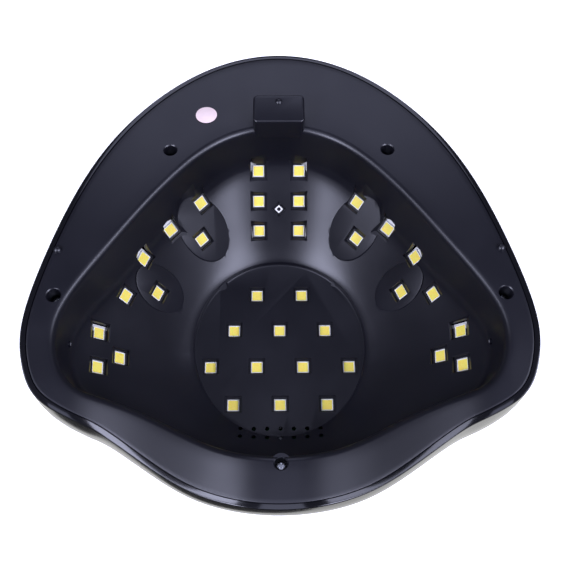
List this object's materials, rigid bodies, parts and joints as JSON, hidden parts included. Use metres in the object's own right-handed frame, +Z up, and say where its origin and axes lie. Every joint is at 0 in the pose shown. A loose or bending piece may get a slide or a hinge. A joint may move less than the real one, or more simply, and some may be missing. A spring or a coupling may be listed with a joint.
{
  "type": "nail lamp",
  "caption": "Domed table lamp that cures nail gel: arched hand opening, flat-ceilinged hollow lined with light packages, press buttons and a display on top.",
  "frame": {"origin": "middle of the bounding box at table level, under the lamp", "axes": "+Z up; the hand goes in from -Y; +X is to the right of a person who faces the hand opening"},
  "size_m": [0.1998, 0.2054, 0.096],
  "materials": {
    "satin_black_plastic": "satin",
    "gloss_black_plastic": "glossy",
    "smoked_window": "glossy",
    "grey_caps": "satin",
    "black_parts": "satin",
    "green_laminate": "satin",
    "white_laminate": "satin",
    "light_packages": "satin",
    "white_sensor": "satin",
    "clear_emitter": "glossy",
    "plated_steel": "bright",
    "copper_winding": "enamelled",
    "red_insulation": "smooth",
    "white_insulation": "smooth",
    "ribbon_insulation": "smooth",
    "seal_vinyl": "satin"
  },
  "bodies": {
    "housing": {"liner": "satin_black_plastic", "top_shell": "gloss_black_plastic", "control_panel": "gloss_black_plastic", "display_window": "smoked_window", "display_module": "black_parts", "tact_switches": "black_parts", "control_board": "green_laminate", "control_board_screws": "plated_steel", "ceiling_board": "white_laminate", "ceiling_leds": "light_packages", "ceiling_board_screws": "plated_steel", "back_board": "white_laminate", "back_leds": "light_packages", "hand_sensor": "white_sensor", "upper_left_board": "white_laminate", "upper_left_leds": "light_packages", "upper_right_board": "white_laminate", "upper_right_leds": "light_packages", "middle_left_board": "white_laminate", "middle_left_leds": "light_packages", "middle_right_board": "white_laminate", "middle_right_leds": "light_packages", "lower_left_board": "white_laminate", "lower_left_leds": "light_packages", "lower_right_board": "white_laminate", "lower_right_leds": "light_packages", "side_board_screws": "plated_steel", "beam_emitter": "clear_emitter", "beam_receiver": "black_parts", "driver_board": "green_laminate", "driver_capacitors": "black_parts", "driver_inductor": "copper_winding", "driver_transistors": "black_parts", "driver_board_screws": "plated_steel", "dc_socket": "black_parts", "dc_socket_pin": "plated_steel", "socket_leads": "red_insulation", "light_leads": "white_insulation", "panel_ribbon": "ribbon_insulation", "case_screws": "plated_steel", "round_seal": "seal_vinyl"},
    "key_10": {"button_10": "grey_caps", "plunger_10": "black_parts"},
    "key_30": {"button_30": "grey_caps", "plunger_30": "black_parts"},
    "key_60": {"button_60": "grey_caps", "plunger_60": "black_parts"},
    "key_99": {"button_99": "grey_caps", "plunger_99": "black_parts"}
  },
  "joints": [
    {"name": "press_10", "type": "slide", "parent": "housing", "child": "key_10", "axis": [0, 0.2924, -0.9563], "range_m": [0, 0.0005], "stiffness_N_per_m": 2500},
    {"name": "press_30", "type": "slide", "parent": "housing", "child": "key_30", "axis": [0, 0.2924, -0.9563], "range_m": [0, 0.0005], "stiffness_N_per_m": 2500},
    {"name": "press_60", "type": "slide", "parent": "housing", "child": "key_60", "axis": [0, 0.2924, -0.9563], "range_m": [0, 0.0005], "stiffness_N_per_m": 2500},
    {"name": "press_99", "type": "slide", "parent": "housing", "child": "key_99", "axis": [0, 0.2924, -0.9563], "range_m": [0, 0.0005], "stiffness_N_per_m": 2500}
  ]
}
